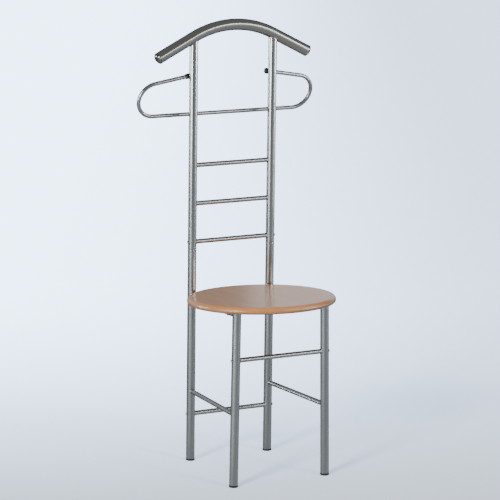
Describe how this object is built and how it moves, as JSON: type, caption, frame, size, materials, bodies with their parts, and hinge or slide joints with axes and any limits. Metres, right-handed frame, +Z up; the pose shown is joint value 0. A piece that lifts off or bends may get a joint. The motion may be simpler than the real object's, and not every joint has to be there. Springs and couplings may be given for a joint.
{
  "type": "valet stand",
  "caption": "Tubular steel clothes valet with a round wooden seat, a curved shoulder hanger, back rungs and a leaning trouser loop.",
  "frame": {"origin": "middle of the stand's footprint box, on the floor", "axes": "+Z up, -Y towards the front of the seat, -X to the left of someone who looks at the front"},
  "size_m": [0.5754, 0.4712, 1.3],
  "materials": {
    "lacquered_steel": "silver-grey metallic lacquer, satin",
    "hanger_steel": "darker warm grey metallic lacquer, satin",
    "nickel_steel": "silver metallic lacquer, brighter, semi-gloss",
    "polished_chrome": "mirror polished",
    "zinc_fasteners": "bright zinc plated",
    "black_plastic": "moulded, fine satin grain",
    "beech_board": "clear lacquered beech, semi-gloss"
  },
  "bodies": {
    "root": {"back_rung_bolt_left": "zinc_fasteners", "back_rung_bolt_right": "zinc_fasteners", "back_rung_insert_left": "zinc_fasteners", "back_rung_insert_right": "zinc_fasteners", "back_rung_lower": "nickel_steel", "back_rung_middle": "nickel_steel", "back_rung_upper": "nickel_steel", "front_cross_bolt_left": "zinc_fasteners", "front_cross_bolt_right": "zinc_fasteners", "front_cross_insert_left": "zinc_fasteners", "front_cross_insert_right": "zinc_fasteners", "front_cross_rung": "nickel_steel", "front_foot_cap_left": "black_plastic", "front_foot_cap_right": "black_plastic", "front_leg_left": "lacquered_steel", "front_leg_right": "lacquered_steel", "hanger_end_cap_left": "polished_chrome", "hanger_end_cap_right": "polished_chrome", "hanger_tube": "hanger_steel", "joint_sleeve_left": "polished_chrome", "joint_sleeve_right": "polished_chrome", "loop_end_socket_left": "black_plastic", "loop_end_socket_right": "black_plastic", "loop_screw_left": "zinc_fasteners", "loop_screw_right": "zinc_fasteners", "rear_cross_bolt_left": "zinc_fasteners", "rear_cross_bolt_right": "zinc_fasteners", "rear_cross_insert_left": "zinc_fasteners", "rear_cross_insert_right": "zinc_fasteners", "rear_cross_rung": "nickel_steel", "rear_foot_cap_left": "black_plastic", "rear_foot_cap_right": "black_plastic", "rear_leg_left": "lacquered_steel", "rear_leg_right": "lacquered_steel", "seat_board": "beech_board", "seat_rail_left": "nickel_steel", "seat_rail_right": "nickel_steel", "seat_screw_front_left": "zinc_fasteners", "seat_screw_front_right": "zinc_fasteners", "seat_screw_rear_left": "zinc_fasteners", "seat_screw_rear_right": "zinc_fasteners", "side_rung_left": "nickel_steel", "side_rung_right": "nickel_steel", "trouser_loop": "nickel_steel", "upper_post_left": "lacquered_steel", "upper_post_right": "lacquered_steel"}
  },
  "joints": []
}
